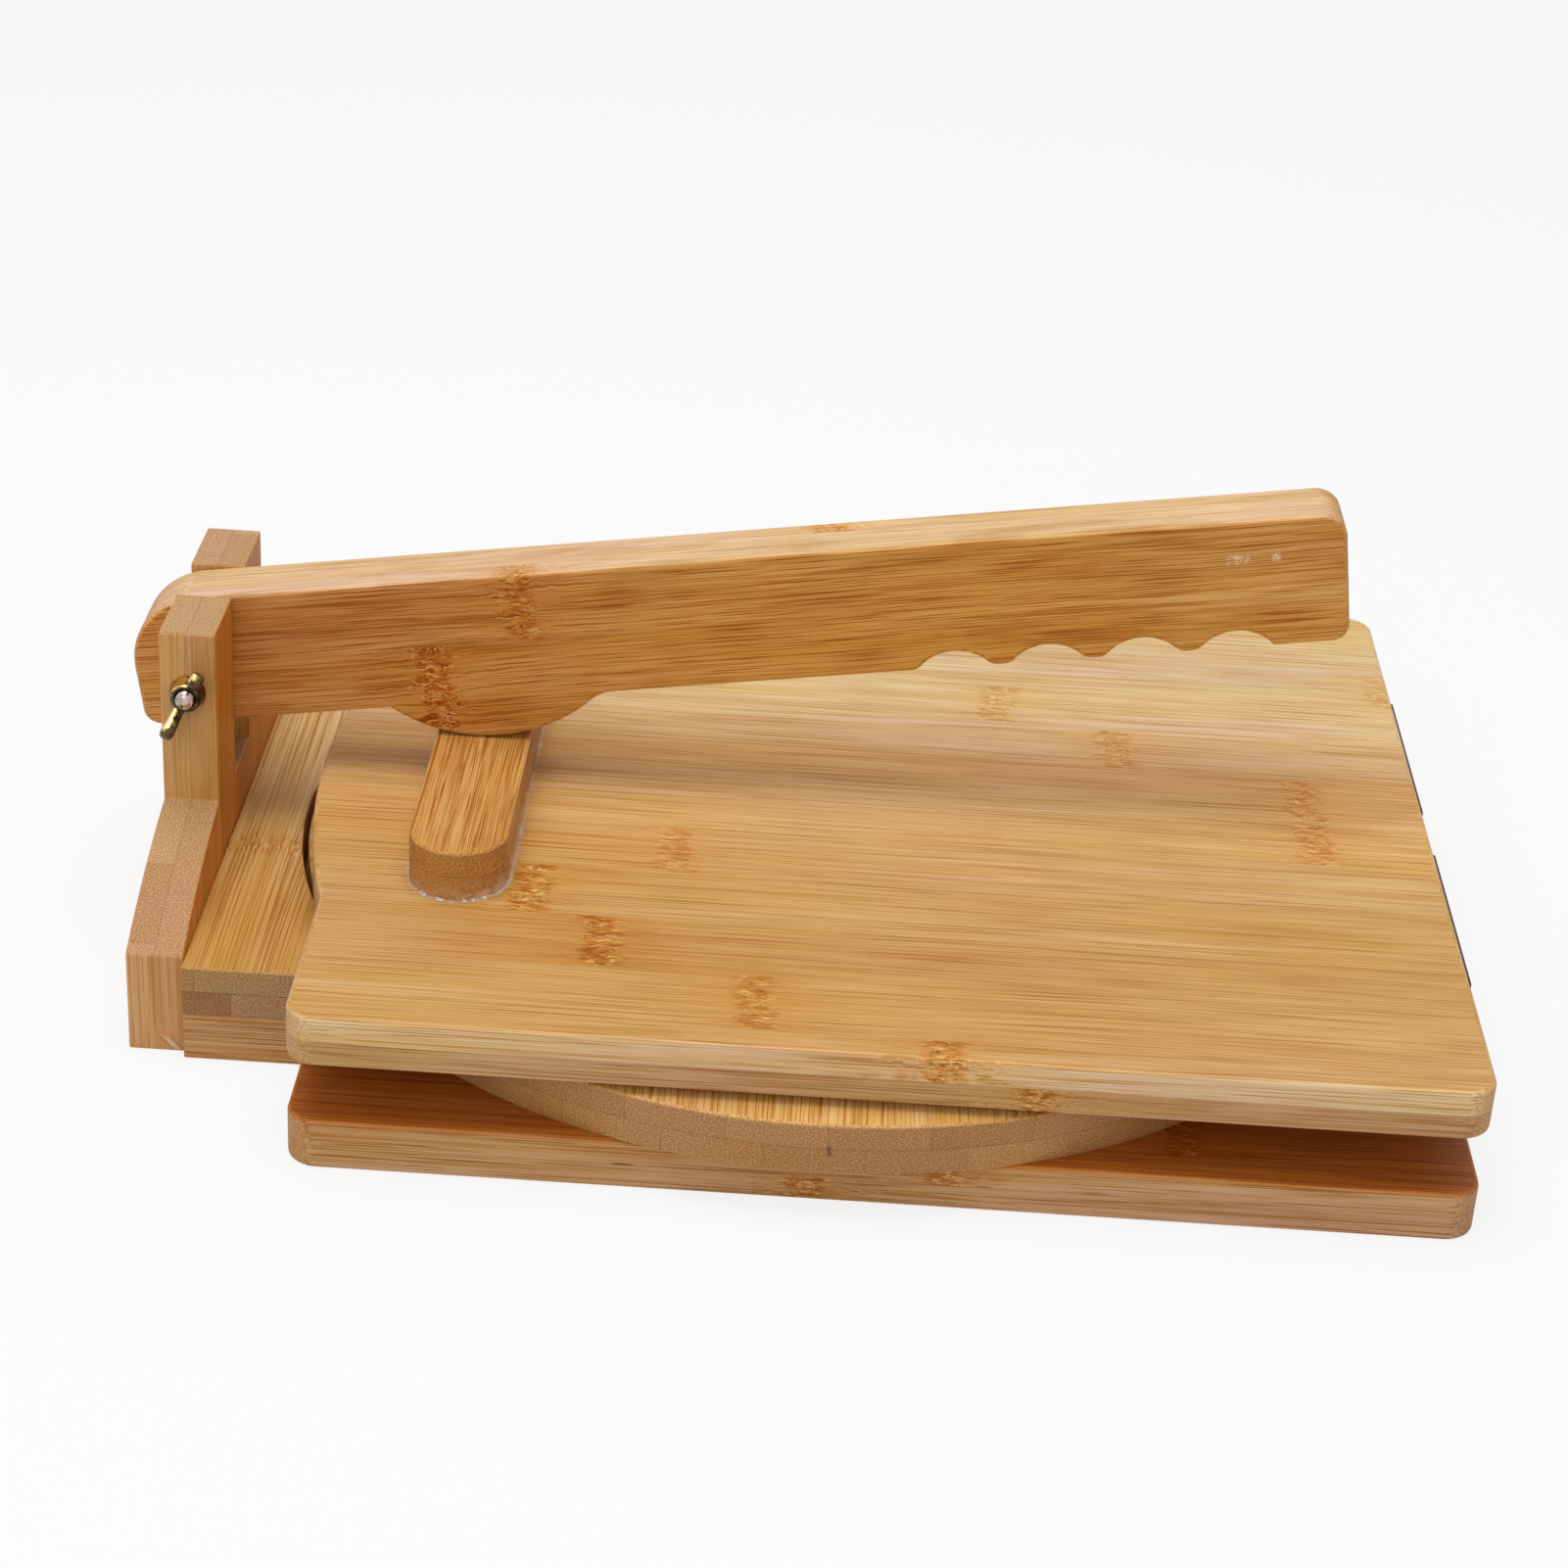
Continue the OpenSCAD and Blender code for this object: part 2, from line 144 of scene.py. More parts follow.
def bamboo(name, axes, strip, ply, face, edge, end, marks, seed, extra, turn=None, centre=None, streaks=1.0,
           dash=0.02, fine=3.0, edge_streaks=1.0, patches=0.3, joint=0.35, ripple=1.0):
    """Glued bamboo. axes names the directions along the grain, across the strips and through the plies.

    strip and ply are (first joint, width) in millimetres. face is the colour seen square to the plies, edge
    the colours at the side of the lowest and of the other plies, and end the colour of the cut ends. Each mark
    is a node of the stem: its place along the grain, the sides of its strip and of its ply, and its strength.
    seed tells one board from the next, and extra paints what only this board has. turn and centre are the slant
    of the grain. streaks is the strength of the fibres, edge_streaks how much of them the edges show, dash and
    fine their numbers in a millimetre along and across the grain, patches how much the broad shades differ,
    joint how dark the glue lines are, and ripple how much the fibres swirl round a mark.
    """
    ply_shift, strip_shift, ragged_by, glue_width, ply_glue_width = 0.37, 700.0, 12.0, 0.18, 0.20
    f = Finish(bpy.data.materials.new(name))
    place, facing = f.space(turn, centre)
    along, across, through = (place["XYZ".index(a)] for a in axes)
    toward_end, toward_edge, toward_face = (facing["XYZ".index(a)] * facing["XYZ".index(a)] for a in axes)
    sides = 1.0 - toward_end
    lined = sides * (1.0 - toward_edge * (1.0 - edge_streaks)) * streaks

    layer = (through - ply[0]) / ply[1]
    layer_number = f.math("FLOOR", layer)
    row = (across - strip[0]) / strip[1] + layer_number * ply_shift
    row_number = f.math("FLOOR", row)
    luck = f.chance(f.point(row_number, layer_number, seed))
    luck_again = f.chance(f.point(layer_number, row_number, seed + 5.5))
    shifted = along + luck * strip_shift

    core, halo = 0.0, 0.0
    if marks:
        ragged = along + (f.noise(f.point(seed, across * 0.30, through * 0.3), 3.0, 0.75) - 0.5) * ragged_by
    for at, low, high, floor, ceiling, strong in marks:
        off = f.math("ABSOLUTE", ragged - at)
        inside = (f.step(across, low - 0.2, low + 0.3) * f.step(across, high - 0.3, high + 0.2, 1.0, 0.0)
                  * f.step(through, floor - 0.1, floor + 0.1)
                  * f.step(through, ceiling - 0.1, ceiling + 0.1, strong, 0.0))
        core = core + inside * f.step(off, 2.2, 6.2, 1.0, 0.0)
        halo = halo + inside * f.step(off, 2.0, 24.0, 1.0, 0.0)

    wave = (f.noise(f.point(shifted * 0.010, across * 0.04, through * 0.1), 1.0) - 0.5) * 2.4
    if marks:
        swirl = f.noise(f.point(along * 0.26, across * 0.40, through * 0.40), 2.0) - 0.5
        wave = wave + swirl * (halo * 1.6 + core * 2.4) * ripple
    lane = across + wave

    bands = f.noise(f.point(shifted * 0.004, lane * 0.16, through * 0.25), 2.0)
    streak = f.noise(f.point(shifted * (dash * 0.4), lane * 1.0, through * 1.0), 2.0, 0.6)
    fibre = f.noise(f.point(shifted * dash, lane * fine, through * fine), 2.0, 0.6)
    vessel = f.node("TexVoronoi", {"feature": "F1", "voronoi_dimensions": "2D"},
                    {"Vector": f.point(across + luck * 9.0, through, 0.0), "Scale": 2.0, "Randomness": 0.75},
                    out="Distance")
    hue = f.noise(f.point(along * 0.007 + seed * 9.0, across * 0.022, through * 0.05), 1.0)
    patch = f.noise(f.point(along * 0.035 + seed, lane * 0.13, through * 0.13), 2.0)

    low_edge, high_edge = edge
    color = f.mix(toward_edge, face, f.mix(f.math("GREATER_THAN", layer_number, 0.5), low_edge, high_edge))
    color = f.mix(toward_end, color, end)
    # Every strip has its own shade, and broad clouds cross the strips
    color = f.tinted(f.step(luck_again, 0.0, 1.0, 0.0, 0.30) + toward_end * luck * 0.55, color, (0.80, 0.73, 0.62))
    color = f.tinted(f.step(hue, 0.51, 0.66, 0.0, 0.75), color, (1.0, 0.965, 0.74))
    color = f.tinted(f.step(hue, 0.47, 0.32, 0.0, 0.8), color, (1.0, 0.96, 1.14))
    color = f.tinted(f.step(bands, 0.50, 0.62, 0.0, 0.5) * sides, color, (1.0, 0.97, 0.78))
    color = f.tinted(f.step(patch, 0.52, 0.70, 0.0, patches) * sides, color, (0.80, 0.66, 0.45))
    color = f.tinted(f.step(patch, 0.48, 0.30, 0.0, patches) * sides, color, (1.12, 1.18, 1.25))
    color = f.tinted(f.step(bands, 0.42, 0.66, 0.0, 0.40) * lined, color, (0.87, 0.75, 0.54))
    pale = f.mix(1.0, color, (1.13, 1.24, 1.72), "MULTIPLY")
    dark = f.mix(1.0, color, (0.60, 0.37, 0.07), "MULTIPLY")
    color = f.mix(f.step(bands, 0.46, 0.30, 0.0, 0.45) * lined, color, pale)
    color = f.mix(f.step(streak, 0.52, 0.70, 0.0, 0.60) * lined, color, dark)
    color = f.mix(f.step(fibre, 0.52, 0.64, 0.0, 0.95) * lined, color, dark)
    color = f.mix(f.step(fibre, 0.47, 0.33, 0.0, 0.75) * lined, color, pale)
    # Cut ends show the vessels as fine close dots
    dots = f.step(vessel, 0.12, 0.42, 1.0, 0.0) * toward_end
    color = f.tinted(f.step(vessel, 0.36, 0.62, 0.0, 0.8) * toward_end, color, (1.20, 1.26, 1.34))
    color = f.tinted(dots, color, (0.66, 0.51, 0.36))
    height = (fibre * 0.5 + streak * 0.3) * sides - dots * 0.4

    if marks:
        torn = f.noise(f.point(along * 0.30, lane * 1.75, through * 1.75), 2.0, 0.6)
        pits = f.noise(f.point(along * 0.9 + 40.0, lane * 1.9, through * 1.9), 1.0)
        color = f.tinted(halo * 0.5, color, (0.98, 0.82, 0.46))
        color = f.tinted(core * 0.65, color, (0.97, 0.76, 0.20))
        color = f.mix(core * f.step(torn, 0.46, 0.32, 0.0, 0.7), color, (0.90, 0.62, 0.26))
        color = f.tinted(core * f.step(torn, 0.50, 0.59, 0.0, 0.95), color, (0.68, 0.38, 0.03))
        color = f.mix(core * f.step(pits, 0.66, 0.73, 0.0, 0.9), color, (0.11, 0.035, 0.010))
        height = height - core * (torn * 0.8 + f.step(pits, 0.62, 0.73))

    # Glue lines between strips and plies, and eased edges made paler, partly sanded wood and partly painted
    # highlight
    seam = f.math("ABSOLUTE", f.math("FRACT", row) - 0.5)
    layer_seam = f.math("ABSOLUTE", f.math("FRACT", layer) - 0.5)
    glue = f.math("MAXIMUM", f.step(seam, 0.5 - glue_width / strip[1], 0.5) * (1.0 - toward_edge),
                  f.step(layer_seam, 0.5 - ply_glue_width / ply[1], 0.5) * (1.0 - toward_face))
    color = f.tinted(glue * joint, color, (0.45, 0.26, 0.13))
    round_edge = toward_face * (1.0 - toward_face) * 4.0
    # Painted highlight on the eased edges, partly paler sanded wood
    color = f.tinted(f.step(round_edge, 0.15, 0.9, 0.0, 0.6), color, (1.16, 1.22, 1.32))
    color = extra(f, color, along, across, through)
    rough = 0.42 + fibre * 0.10 + toward_end * 0.18
    return f.surface(color, rough, height, 0.10, {"Specular IOR Level": 0.25, "IOR": 1.45})


def plated(name, shades, rough, grime, seed, painted_highlight=0.0, metal=1.0, sheen=0.5):
    """Bought metal parts: a plating that varies in shade, with darker clouds of grime and fine scratches.

    shades are the two of the plating, one of its patches, one of the grime and one of the scratches. The colour of
    the scratches is also painted as a highlight on the faces that point up, to the front and to the left, as
    strongly as the argument after seed says. metal and sheen are low where a dark lacquer covers the plating.
    """
    f = Finish(bpy.data.materials.new(name))
    (x, y, z), facing = f.space()
    cloud = f.noise(f.point(x * 0.45 + seed, y * 0.45, z * 0.45), 3.0, 0.6)
    tint = f.noise(f.point(x * 0.7, y * 0.7 + seed, z * 0.7), 2.0)
    scratch = f.noise(f.point(x * 0.8, y * 6.0, z * 6.0 + seed), 3.0, 0.6, 0.4)
    color = f.mix(f.step(cloud, 0.38, 0.60), shades[0], shades[1])
    color = f.mix(f.step(tint, 0.53, 0.63, 0.0, 0.9), color, shades[2])
    color = f.mix(f.step(cloud, 0.50, 0.34, 0.0, grime), color, shades[3])
    color = f.mix(f.step(scratch, 0.60, 0.70, 0.0, 0.35), color, shades[4])
    # Painted highlight: the faces that point up, to the front and to the left take the light colour of the scratches
    if painted_highlight:
        toward_light = facing[2] * 0.75 - facing[1] * 0.35 - facing[0] * 0.35 + (tint - 0.5) * 0.8
        color = f.mix(f.step(toward_light, 0.60, 0.84, 0.0, painted_highlight), color, shades[4])
    return f.surface(color, rough + cloud * 0.14 + f.step(scratch, 0.55, 0.7) * 0.08, scratch + cloud, 0.03,
                     {"Metallic": metal, "Specular IOR Level": sheen})


def dried_glue(board, front_end):
    """Clear dried glue on a board whose top is at the height board. Its front end has painted white glints."""
    f = Finish(bpy.data.materials.new("dried_glue"))
    x, y, z = f.space()[0]
    cloud = f.noise(f.point(x * 0.12, y * 0.12, z * 0.12), 2.0)
    speck = f.noise(f.point(x * 0.8, y * 0.8, z * 0.8), 2.0)
    # Painted glints: white specks near the front end, which also make the glue less clear there
    white = f.step(speck, 0.50, 0.62) * f.step(y, front_end + 7.0, front_end + 2.0)
    yellow = f.mix(f.step(cloud, 0.35, 0.65), (0.74, 0.54, 0.37), (0.82, 0.68, 0.56))
    color = f.mix(white, yellow, (0.92, 0.88, 0.84))
    clear = f.step(z - board, 0.0, 0.32) * (0.22 + f.step(cloud, 0.42, 0.62, 0.0, 0.25) + white * 0.35)
    return f.surface(color, 0.22 + cloud * 0.2, cloud, 0.1, {"Alpha": clear})


# Shapes

def piece(name, mesh, body, replaced, material):
    """A finished piece at the origin, which rides on its body and stands for its CAD nodes."""
    if isinstance(mesh, bmesh.types.BMesh):
        data = bpy.data.meshes.new(name)
        mesh.to_mesh(data)
        mesh.free()
        mesh = data
    mesh.name = name
    made = bpy.data.objects.new(name, mesh)
    bpy.context.scene.collection.objects.link(made)
    mesh.materials.clear()
    mesh.materials.append(material)
    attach(made, body)
    if replaced:
        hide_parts(*replaced)
    return made


def cad_copy(node):
    """An editable copy of a CAD piece, without doubled points and without splits of its flat faces."""
    bm = bmesh.new()
    bm.from_mesh(frame["nodes"][node].data)
    bmesh.ops.remove_doubles(bm, verts=bm.verts, dist=2e-6)
    bmesh.ops.dissolve_limit(bm, angle_limit=radians(0.2), verts=bm.verts, edges=bm.edges)
    return bm


def eased(name, node, body, material, deep, width, corner=0.0, keep=()):
    """A CAD board with the edges round its two faces eased. deep is the axis through the board's thickness.

    corner is the ease of the corners that run through the board, and keep lists (point, radius) of holes
    whose edges stay sharp.
    """
    crease, shortest_corner = radians(28), 4 * MM
    bm = cad_copy(node)
    weight = bm.edges.layers.float.new("bevel_weight_edge")
    largest = max(width, corner)
    for face in bm.faces:
        face.smooth = True
    for edge in bm.edges:
        if len(edge.link_faces) != 2:
            continue
        a, b = (abs(face.normal.dot(deep)) for face in edge.link_faces)
        middle = (edge.verts[0].co + edge.verts[1].co) / 2
        sharp = edge.calc_face_angle(0.0) > crease
        edge.smooth = not sharp
        if not sharp or any((middle - p).length < r for p, r in keep):
            continue
        if max(a, b) > 0.99 and min(a, b) < 0.05:
            edge[weight] = width / largest
        elif corner and max(a, b) < 0.05 and edge.calc_length() > shortest_corner:
            edge[weight] = corner / largest
    made = piece(name, bm, body, [node], material)
    ease = made.modifiers.new("eased edges", "BEVEL")
    ease.width, ease.segments, ease.limit_method = largest, 3, "WEIGHT"
    ease.use_clamp_overlap, ease.harden_normals = False, True


def turned(bm, profile, place, steps, wave=None):
    """A shape turned on a lathe: profile lists (radius, height), place puts its +Z axis in the frame.

    wave, if given, works out the radius from the profile's radius, the height and the angle.
    """
    rings = []
    for radius, height in profile:
        if radius < 1e-7:
            rings.append([bm.verts.new(place @ Vector((0, 0, height)))])
        else:
            ring = []
            for k in range(steps):
                a = 2 * pi * k / steps
                r = radius if wave is None else wave(radius, height, a)
                ring.append(bm.verts.new(place @ Vector((r * cos(a), r * sin(a), height))))
            rings.append(ring)
    for low, high in zip(rings, rings[1:]):
        for k in range(steps):
            n = (k + 1) % steps
            corners = [low[k % len(low)], low[n % len(low)], high[n % len(high)], high[k % len(high)]]
            corners = list(dict.fromkeys(corners))
            if len(corners) > 2:
                bm.faces.new(corners)


def fillet(x, z, r, start, steps=4):
    """Points of a quarter round about (x, z), from the angle start on."""
    return [(x + r * cos(radians(start + 90 * i / steps)), z + r * sin(radians(start + 90 * i / steps)))
            for i in range(steps + 1)]


def closed(bm, sharp=35):
    """Merges the doubled points of a new mesh, turns its faces outwards and smooths it up to the angle sharp."""
    bmesh.ops.remove_doubles(bm, verts=bm.verts, dist=1e-6)
    bmesh.ops.recalc_face_normals(bm, faces=bm.faces)
    for face in bm.faces:
        face.smooth = True
    for edge in bm.edges:
        edge.smooth = len(edge.link_faces) == 2 and edge.calc_face_angle(0.0) < radians(sharp)
    return bm


def thread(depth, pitch, start, end, tip, ease):
    """Makes a lathe profile's radius follow a screw thread between the heights start and end.

    At the end the radius is at most tip, and it may grow by ease for each unit of distance from there.
    """
    def wave(radius, height, a):
        if not start < height < end + 1e-9:
            return radius
        turn = (height / pitch - a / (2 * pi)) % 1.0
        ridge = abs(2 * turn - 1)
        cut = depth * min(1.0, (height - start) / pitch) * ridge
        return max(min(radius - cut, tip + (end - height) * ease), 0.05 * MM)
    return wave


# The wood

lid_top, yoke_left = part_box("lid_board")[1].z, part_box("yoke")[0].x
low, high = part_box("cam_block")
middle_of_cam = (low.x + high.x) / 2 / MM
pivot = Vector(next(j for j in frame["joints"] if j["name"] == "lever_pivot")["pos_m"])
lever_tilt = radians(8.5)


def split_and_painted_shade(f, color, along, across, through):
    """Painted shade on the front strips of the base board's top, under the lid, and a short dark split in its front
    edge.
    """
    # Painted shade: darker and redder where the gap under the lid shades the base
    deep = f.step(across, -80.0, -96.0) * f.step(through, 11.0, 11.6)
    color = f.tinted(deep, color, (0.84, 0.62, 0.36))
    past, above = along + 41.5, through - 6.2
    split = f.near(past + above * 3.0, 0.0, 1.2, 3.6) * f.near(above - past * 0.02, 0.0, 0.08, 0.28)
    return f.mix(split * f.step(across, -119.0, -118.0, 1.0, 0.0), color, (0.05, 0.03, 0.02))


def scuffs(f, color, along, across, through):
    """A darker stretch between the posts and the grip, and whitish rubs near the grip end of the lever."""
    dull = f.step(along, 150.0, 20.0) * f.step(along, -8.0, 12.0)
    color = f.tinted(dull * f.step(f.math("ABSOLUTE", through), 8.0, 8.6), color, (0.88, 0.79, 0.80))
    spots = f.noise(f.point(along * 1.4, across * 1.7, through * 0.3), 3.0, 0.6)
    rub = f.near(along, 243.2, 1.6, 3.4) + f.near(along, 252.0, 0.4, 1.4)
    rub = rub * f.near(across, 4.3, 0.6, 1.6) * f.step(spots, 0.44, 0.58)
    return f.mix(rub * 0.65 * f.step(through, -8.0, -8.5), color, (0.86, 0.72, 0.58))


def lid_tones_painted_light_and_sheen(f, color, along, across, through):
    """Painted light in front of the lever, painted sheen on paler wood at the back, and deeper gold fading to the
    hinges.
    """
    gold = f.near(across, -84.0, 5.0, 22.0) * f.step(along, -70.0, 120.0, 1.0, 0.6)
    gold = gold * f.step(along, -108.0, -72.0, 0.3, 1.0)
    # In turn: painted sheen on wood that is also paler towards the back, the band of deeper gold, painted light in
    # front of the lever where its shadow falls, and a redder strip under the lever
    for amount, tint in ((f.step(across, 12.0, 58.0), (1.20, 1.42, 1.90)), (gold, (0.89, 0.80, 0.54)),
                         (f.near(across, -12.0, 4.0, 17.0), (1.17, 1.20, 1.34)),
                         (f.near(across, 8.0, 6.0, 18.0), (1.08, 1.03, 1.0))):
        color = f.tinted(amount, color, tint)
    return color


def rim_mark(f, color, along, across, through):
    """A small dark mark on the rim of the press disc."""
    spot = f.near(across - 2.6 + (through - 18.0) * 0.1, 0.0, 0.15, 0.75)
    spot = spot * f.step(along, -124.0, -125.5) * f.near(through, 17.6, 0.8, 1.8)
    return f.mix(spot * 0.7, color, (0.11, 0.045, 0.02))


def splinter(f, color, along, across, through):
    """A pale splinter with a dark edge, at the foot of the yoke beside the neck."""
    off = f.math("ABSOLUTE", through + 147.6 + (along - 2.0) * 0.9)
    spot = f.near(along, 2.2, 0.9, 2.4) * f.step(across, -72.5, -73.6)
    color = f.mix(spot * f.step(off, 0.3, 1.2, 0.5, 0.0), color, (0.80, 0.58, 0.33))
    return f.mix(spot * f.near(off, 1.2, 0.1, 0.4, 0.5), color, (0.20, 0.09, 0.04))


def glue_smear(f, color, along, across, through):
    """A thin film of glue that climbs the sides of the cam block."""
    cloud = f.noise(f.point(along * 0.22, across * 0.22, through * 0.5), 3.0)
    film = f.step(through, 43.2, 38.6) * f.step(cloud, 0.36, 0.62)
    film = film * 0.5 * f.step(across, middle_of_cam - 2.0, middle_of_cam + 8.0, 0.35, 1.0)
    return f.mix(film, color, (0.78, 0.62, 0.50))


def block_tones_and_painted_light(f, color, along, across, through):
    """Painted light on the strips in the lever's shadow, and one darker strip in the lower layer at the front end.
    """
    # Painted light: paler where the lever's shadow falls
    color = f.tinted(f.step(along, -52.0, -8.0), color, (1.18, 1.36, 1.75))
    dark = f.step(across, -133.3, -133.7) * f.step(through, 18.1, 17.9) * f.step(along, -78.0, -79.0)
    return f.tinted(dark, color, (0.80, 0.68, 0.60))


lid_marks = [(41, 42.6, 62.5, 0.6), (69, 20.5, 40.6, 0.7), (114.5, -1.5, 18.7, 0.75), (115.5, -23.5, -3.2, 0.7),
             (-37, -47, -25.1, 0.65), (-68, -68.9, -47, 0.95), (-50.3, -90.8, -68.9, 1.0),
             (-15.5, -112.7, -90.8, 0.7), (26, -121, -112.7, 0.9), (141, 62.5, 83.5, 0.4),
             (-20, 84.4, 106.3, 0.8), (35, 106.3, 121, 0.8)]
lid_wood = bamboo(
    "lid_bamboo", "XYZ", (-112.7, 21.9), (26.0, 6.0),
    (0.625, 0.374, 0.134), [(0.53, 0.314, 0.125), (0.735, 0.51, 0.25)], (0.58, 0.36, 0.18),
    [(*strip, 32, 38.5, strong) for *strip, strong in lid_marks] + [(45.5, -121, -100, 25, 32, 0.9)],
    1.0, lid_tones_painted_light_and_sheen, streaks=0.85)
# The base's face colour is darker and redder than the lid's as painted shade of the gap under the lid
base_wood = bamboo(
    "base_bamboo", "XYZ", (-112.0, 21.9), (0.0, 6.0),
    (0.53, 0.225, 0.052), [(0.55, 0.312, 0.130)] * 2, (0.55, 0.31, 0.14),
    [(-2, -121, -112, -1, 6, 0.9), (28, -121, -112, 6, 12.5, 0.8), (80, -112, -90, 6, 12.5, 0.8),
     (-60, -90, -68, 6, 12.5, 0.9), (40, 60, 82, -1, 6, 0.8), (-30, -20, 2, -1, 6, 0.9)],
    2.0, split_and_painted_shade)
block_wood = bamboo(
    "cross_block_bamboo", "YXZ", (-133.5, 22.0), (12.0, 6.0),
    (0.57, 0.32, 0.088), [(0.56, 0.31, 0.11)] * 2, (0.435, 0.26, 0.122),
    [(-21, -146, -120, 18, 25, 0.5)],
    3.0, block_tones_and_painted_light, streaks=1.2, dash=0.014, joint=0.6, ripple=0.4)
disc_wood = bamboo(
    "disc_bamboo", "YXZ", (-121.0, 21.9), (12.0, 6.0),
    (0.74, 0.45, 0.14), [(0.56, 0.30, 0.11)] * 2, (0.46, 0.235, 0.095),
    [(30, -55, -33, 18, 25, 0.8), (-40, 10, 33, 18, 25, 0.8)],
    4.0, rim_mark, streaks=1.2, joint=0.5)
# The deep orange of the yoke's side faces is partly the wood's own tone and partly painted shade, coloured like
# light bounced off the lever and the cross block
yoke_wood = bamboo(
    "yoke_bamboo", "ZYX", (-74.0, 21.9), (-157.5, 6.5),
    (0.66, 0.275, 0.05), [(0.62, 0.355, 0.130), (0.60, 0.322, 0.110)], (0.54, 0.33, 0.160),
    [(57, -30, -8, -158, -151, 0.8), (20, 14, 36, -158, -151, 0.9)],
    5.0, splinter, streaks=0.9, dash=0.016, edge_streaks=0.6, joint=0.45)
cam_wood = bamboo(
    "cam_block_bamboo", "YXZ", (-96.0, 26.0), (38.0, 6.0),
    (0.57, 0.285, 0.068), [(0.56, 0.29, 0.09)] * 2, (0.55, 0.285, 0.07),
    (),
    6.0, glue_smear, streaks=1.9, dash=0.035, fine=3.8, patches=0.5, joint=0.5)
lever_wood = bamboo(
    "lever_bamboo", "XZY", (-2.8, 20.5), (-8.7, 5.8),
    (0.64, 0.33, 0.077), [(0.70, 0.465, 0.235)] * 2, (0.57, 0.32, 0.13),
    [(75.5, -2.8, 16, -9, -2.9, 0.75), (53.5, -25, -2.8, -9, -2.9, 1.0), (150, -2.8, 16, 2.9, 9, 1.0),
     (40, -25, -2.8, 2.9, 9, 1.0)],
    7.0, scuffs, turn=(0.0, -lever_tilt, 0.0), centre=pivot, streaks=1.25, dash=0.038, edge_streaks=0.45,
    patches=0.6, ripple=1.3)

up, side, front = Vector((0, 0, 1)), Vector((1, 0, 0)), Vector((0, 1, 0))
eased("base_board_wood", "base_board", "base", base_wood, up, 1.0 * MM, 0.6 * MM)
eased("cross_block_wood", "cross_block", "base", block_wood, up, 0.4 * MM, 0.4 * MM)
eased("yoke_wood", "yoke", "base", yoke_wood, side, 0.55 * MM, 0.5 * MM)
eased("lid_board_wood", "lid_board", "lid", lid_wood, up, 1.1 * MM)
eased("cam_block_wood", "cam_block", "lid", cam_wood, up, 0.6 * MM)
half_lever, bore_reach = 8.7 * MM, 3 * MM
eased("lever_wood", "lever", "lever", lever_wood, front, 1.1 * MM,
      keep=[(pivot + front * s * half_lever, bore_reach) for s in (-1, 1)])

low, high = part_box("press_disc")
radius, foot_ease, top_ease = (high.x - low.x) / 2, 0.3 * MM, 0.7 * MM
bm = bmesh.new()
turned(bm, [(0, low.z)] + fillet(radius - foot_ease, low.z + foot_ease, foot_ease, -90)
       + fillet(radius - top_ease, high.z - top_ease, top_ease, 0) + [(0, high.z)],
       Matrix.Translation((low.x + radius, low.y + radius, 0)), 360)
piece("press_disc_wood", closed(bm), "base", ["press_disc"], disc_wood)


# The metal

# The yellow zinc's near-black shades are painted reflection of dark surroundings, and its gold on faces that point
# up, to the front and to the left is painted highlight
zinc = plated(
    "yellow_zinc", [(0.060, 0.037, 0.015), (0.10, 0.062, 0.026), (0.16, 0.085, 0.045), (0.022, 0.013, 0.008),
                    (0.80, 0.53, 0.20)], 0.16, 0.9, 3.0, painted_highlight=0.9)
rainbow_zinc = plated(
    "rainbow_zinc", [(0.46, 0.42, 0.34), (0.62, 0.46, 0.44), (0.42, 0.46, 0.24), (0.10, 0.08, 0.06),
                     (0.70, 0.66, 0.56)], 0.14, 0.5, 21.0)
bronze = plated(
    "dark_bronze", [(0.022, 0.013, 0.008), (0.028, 0.017, 0.010), (0.040, 0.023, 0.013), (0.014, 0.009, 0.006),
                    (0.10, 0.060, 0.034)], 0.34, 0.5, 8.0, metal=0.0, sheen=0.22)
steel = plated(
    "bright_zinc", [(0.58, 0.58, 0.57), (0.48, 0.49, 0.50), (0.60, 0.58, 0.50), (0.22, 0.21, 0.20),
                    (0.80, 0.80, 0.78)], 0.26, 0.5, 12.0)
post_face = 30.5 * MM
to_front = Matrix.Rotation(pi / 2, 4, "X")

# Carriage bolt, from the foot of its dome behind the rear post to its chamfered end in front of the nut
low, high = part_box("pivot_bolt")
bolt_radius, head_radius, head_rim, rim_ease = 2.1 * MM, (high.x - low.x) / 2, 0.12 * MM, 0.15 * MM
bolt_length, head_height = post_face - low.y, high.y - post_face
neck_side, neck_length = 4.2 * MM, 3.0 * MM
pitch, thread_depth, thread_length, rings_a_turn = 0.7 * MM, 0.36 * MM, 12 * MM, 8
thread_start, chamfer = bolt_length - thread_length, ((0.35, 0.5), (0.5, 0.3), (0.8, 0.13), (1.3, 0.03))
bolt_place = Matrix.Translation((pivot.x, post_face, pivot.z)) @ to_front
ball = (head_radius ** 2 + head_height ** 2) / (2 * head_height)
dome = [(ball * sin(a), ball - head_height - ball * cos(a)) for a in
        (i / 10 * (acos(1 - head_height / ball) - 0.04) for i in range(11))]
heights = [thread_start + i * pitch / rings_a_turn for i in range(int(thread_length / pitch * rings_a_turn) + 1)]
bm = bmesh.new()
